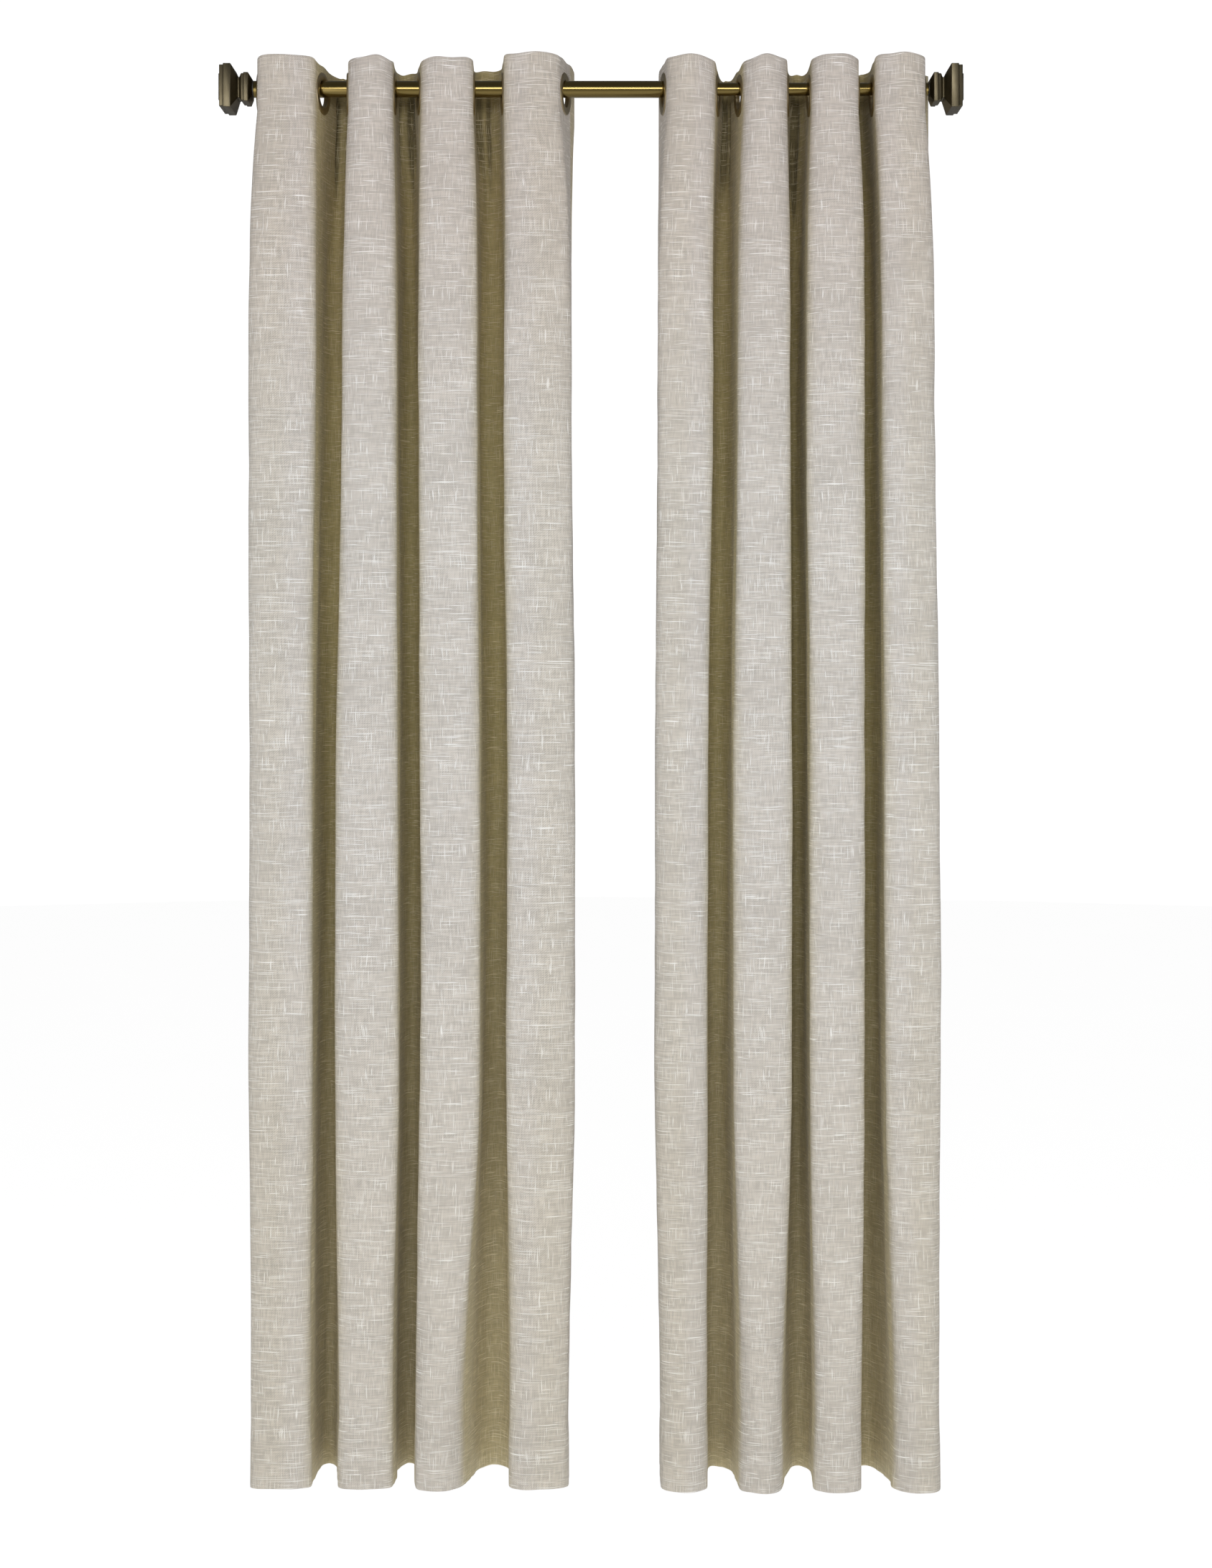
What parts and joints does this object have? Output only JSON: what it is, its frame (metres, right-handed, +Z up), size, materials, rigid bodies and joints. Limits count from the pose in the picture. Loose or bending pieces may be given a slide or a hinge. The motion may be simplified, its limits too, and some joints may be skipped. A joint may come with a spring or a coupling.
{
  "type": "window curtains on a rod",
  "caption": "Pair of linen-look grommet-top curtain panels in deep folds on a telescoping metal rod with square stepped finials and wall brackets.",
  "frame": {"origin": "centre of the left wall plate's back face, where it lies on the wall", "axes": "+X along the rod from left to right, +Y into the wall, +Z up"},
  "size_m": [1.1172, 0.1843, 2.1367],
  "materials": {
    "antique_brass": "brushed antique brass",
    "aged_bronze": "aged bronze, satin",
    "grommet_metal": "aged bronze, satin",
    "zinc_steel": "zinc plated",
    "bush_plastic": "moulded",
    "linen_weave": "slubbed linen-look weave",
    "buckram": "stiff woven interlining"
  },
  "bodies": {
    "wall_plates": {"left_wall_plate": "aged_bronze", "right_wall_plate": "aged_bronze", "left_upper_wall_screw": "zinc_steel", "left_lower_wall_screw": "zinc_steel", "right_upper_wall_screw": "zinc_steel", "right_lower_wall_screw": "zinc_steel"},
    "left_arm_screw": {"left_arm_screw": "aged_bronze"},
    "right_arm_screw": {"right_arm_screw": "aged_bronze"},
    "rod_carriage": {"left_cup_arm": "aged_bronze", "right_cup_arm": "aged_bronze", "outer_tube": "antique_brass", "glide_bush": "bush_plastic", "left_end_plug": "bush_plastic", "left_panel": "linen_weave", "left_header_stiffener": "buckram", "right_panel": "linen_weave", "right_header_stiffener": "buckram", "left_grommet_1_front_ring": "grommet_metal", "left_grommet_1_back_ring": "grommet_metal", "right_grommet_8_front_ring": "grommet_metal", "right_grommet_8_back_ring": "grommet_metal"},
    "left_cup_screw": {"left_cup_screw": "aged_bronze"},
    "right_cup_screw": {"right_cup_screw": "aged_bronze"},
    "left_finial": {"left_finial": "aged_bronze", "left_finial_stud": "zinc_steel"},
    "inner_rod": {"inner_tube": "antique_brass", "right_end_plug": "bush_plastic"},
    "right_finial": {"right_finial": "aged_bronze", "right_finial_stud": "zinc_steel"},
    "left_grommet_2": {"left_grommet_2_front_ring": "grommet_metal", "left_grommet_2_back_ring": "grommet_metal"},
    "left_grommet_3": {"left_grommet_3_front_ring": "grommet_metal", "left_grommet_3_back_ring": "grommet_metal"},
    "left_grommet_4": {"left_grommet_4_front_ring": "grommet_metal", "left_grommet_4_back_ring": "grommet_metal"},
    "left_grommet_5": {"left_grommet_5_front_ring": "grommet_metal", "left_grommet_5_back_ring": "grommet_metal"},
    "left_grommet_6": {"left_grommet_6_front_ring": "grommet_metal", "left_grommet_6_back_ring": "grommet_metal"},
    "left_grommet_7": {"left_grommet_7_front_ring": "grommet_metal", "left_grommet_7_back_ring": "grommet_metal"},
    "left_grommet_8": {"left_grommet_8_front_ring": "grommet_metal", "left_grommet_8_back_ring": "grommet_metal"},
    "right_grommet_1": {"right_grommet_1_front_ring": "grommet_metal", "right_grommet_1_back_ring": "grommet_metal"},
    "right_grommet_2": {"right_grommet_2_front_ring": "grommet_metal", "right_grommet_2_back_ring": "grommet_metal"},
    "right_grommet_3": {"right_grommet_3_front_ring": "grommet_metal", "right_grommet_3_back_ring": "grommet_metal"},
    "right_grommet_4": {"right_grommet_4_front_ring": "grommet_metal", "right_grommet_4_back_ring": "grommet_metal"},
    "right_grommet_5": {"right_grommet_5_front_ring": "grommet_metal", "right_grommet_5_back_ring": "grommet_metal"},
    "right_grommet_6": {"right_grommet_6_front_ring": "grommet_metal", "right_grommet_6_back_ring": "grommet_metal"},
    "right_grommet_7": {"right_grommet_7_front_ring": "grommet_metal", "right_grommet_7_back_ring": "grommet_metal"}
  },
  "joints": [
    {"name": "projection_slide", "type": "slide", "parent": "wall_plates", "child": "rod_carriage", "axis": [0, -1, 0], "range_m": [0, 0.028]},
    {"name": "left_arm_screw_turn", "type": "hinge", "parent": "wall_plates", "child": "left_arm_screw", "pos_m": [0, -0.04, 0], "axis": [0, 0, -1], "continuous": true},
    {"name": "right_arm_screw_turn", "type": "hinge", "parent": "wall_plates", "child": "right_arm_screw", "pos_m": [0.955, -0.04, 0.0027], "axis": [0, 0, -1], "continuous": true},
    {"name": "left_cup_screw_turn", "type": "hinge", "parent": "rod_carriage", "child": "left_cup_screw", "pos_m": [0, -0.095, 0.017], "axis": [0, -1, 0], "continuous": true},
    {"name": "right_cup_screw_turn", "type": "hinge", "parent": "rod_carriage", "child": "right_cup_screw", "pos_m": [0.955, -0.095, 0.017], "axis": [0, -1, 0], "continuous": true},
    {"name": "left_finial_turn", "type": "hinge", "parent": "rod_carriage", "child": "left_finial", "pos_m": [-0.06, -0.095, 0.017], "axis": [-1, 0, 0], "continuous": true},
    {"name": "rod_extend", "type": "slide", "parent": "rod_carriage", "child": "inner_rod", "axis": [1, 0, 0], "range_m": [0, 0.14]},
    {"name": "right_finial_turn", "type": "hinge", "parent": "inner_rod", "child": "right_finial", "pos_m": [1.01, -0.095, 0.017], "axis": [1, 0, 0], "continuous": true},
    {"name": "left_grommet_2_slide", "type": "slide", "parent": "rod_carriage", "child": "left_grommet_2", "axis": [1, 0, 0], "range_m": [-0.0193, 0.0059]},
    {"name": "left_grommet_3_slide", "type": "slide", "parent": "rod_carriage", "child": "left_grommet_3", "axis": [1, 0, 0], "range_m": [-0.0373, 0.0114]},
    {"name": "left_grommet_4_slide", "type": "slide", "parent": "rod_carriage", "child": "left_grommet_4", "axis": [1, 0, 0], "range_m": [-0.0736, 0.0225]},
    {"name": "left_grommet_5_slide", "type": "slide", "parent": "rod_carriage", "child": "left_grommet_5", "axis": [1, 0, 0], "range_m": [-0.0971, 0.0297]},
    {"name": "left_grommet_6_slide", "type": "slide", "parent": "rod_carriage", "child": "left_grommet_6", "axis": [1, 0, 0], "range_m": [-0.1409, 0.0431]},
    {"name": "left_grommet_7_slide", "type": "slide", "parent": "rod_carriage", "child": "left_grommet_7", "axis": [1, 0, 0], "range_m": [-0.1616, 0.0494]},
    {"name": "left_curtain_draw", "type": "slide", "parent": "rod_carriage", "child": "left_grommet_8", "axis": [1, 0, 0], "range_m": [-0.18, 0.055], "deforming": ["left_panel", "left_header_stiffener"]},
    {"name": "right_curtain_draw", "type": "slide", "parent": "rod_carriage", "child": "right_grommet_1", "axis": [1, 0, 0], "range_m": [-0.05, 0.15], "deforming": ["right_panel", "right_header_stiffener"]},
    {"name": "right_grommet_2_slide", "type": "slide", "parent": "rod_carriage", "child": "right_grommet_2", "axis": [1, 0, 0], "range_m": [-0.0448, 0.1344]},
    {"name": "right_grommet_3_slide", "type": "slide", "parent": "rod_carriage", "child": "right_grommet_3", "axis": [1, 0, 0], "range_m": [-0.0397, 0.119]},
    {"name": "right_grommet_4_slide", "type": "slide", "parent": "rod_carriage", "child": "right_grommet_4", "axis": [1, 0, 0], "range_m": [-0.0271, 0.0811]},
    {"name": "right_grommet_5_slide", "type": "slide", "parent": "rod_carriage", "child": "right_grommet_5", "axis": [1, 0, 0], "range_m": [-0.0202, 0.0604]},
    {"name": "right_grommet_6_slide", "type": "slide", "parent": "rod_carriage", "child": "right_grommet_6", "axis": [1, 0, 0], "range_m": [-0.0083, 0.0247]},
    {"name": "right_grommet_7_slide", "type": "slide", "parent": "rod_carriage", "child": "right_grommet_7", "axis": [1, 0, 0], "range_m": [-0.0048, 0.0143]}
  ],
  "couplings": [
    {"joint": "left_grommet_2_slide", "follows": "left_curtain_draw", "ratio": 0.107},
    {"joint": "left_grommet_3_slide", "follows": "left_curtain_draw", "ratio": 0.2067},
    {"joint": "left_grommet_4_slide", "follows": "left_curtain_draw", "ratio": 0.4088},
    {"joint": "left_grommet_5_slide", "follows": "left_curtain_draw", "ratio": 0.5393},
    {"joint": "left_grommet_6_slide", "follows": "left_curtain_draw", "ratio": 0.7823},
    {"joint": "left_grommet_7_slide", "follows": "left_curtain_draw", "ratio": 0.8973},
    {"joint": "right_grommet_2_slide", "follows": "right_curtain_draw", "ratio": 0.8955},
    {"joint": "right_grommet_3_slide", "follows": "right_curtain_draw", "ratio": 0.7927},
    {"joint": "right_grommet_4_slide", "follows": "right_curtain_draw", "ratio": 0.5404},
    {"joint": "right_grommet_5_slide", "follows": "right_curtain_draw", "ratio": 0.4022},
    {"joint": "right_grommet_6_slide", "follows": "right_curtain_draw", "ratio": 0.1643},
    {"joint": "right_grommet_7_slide", "follows": "right_curtain_draw", "ratio": 0.0948}
  ]
}
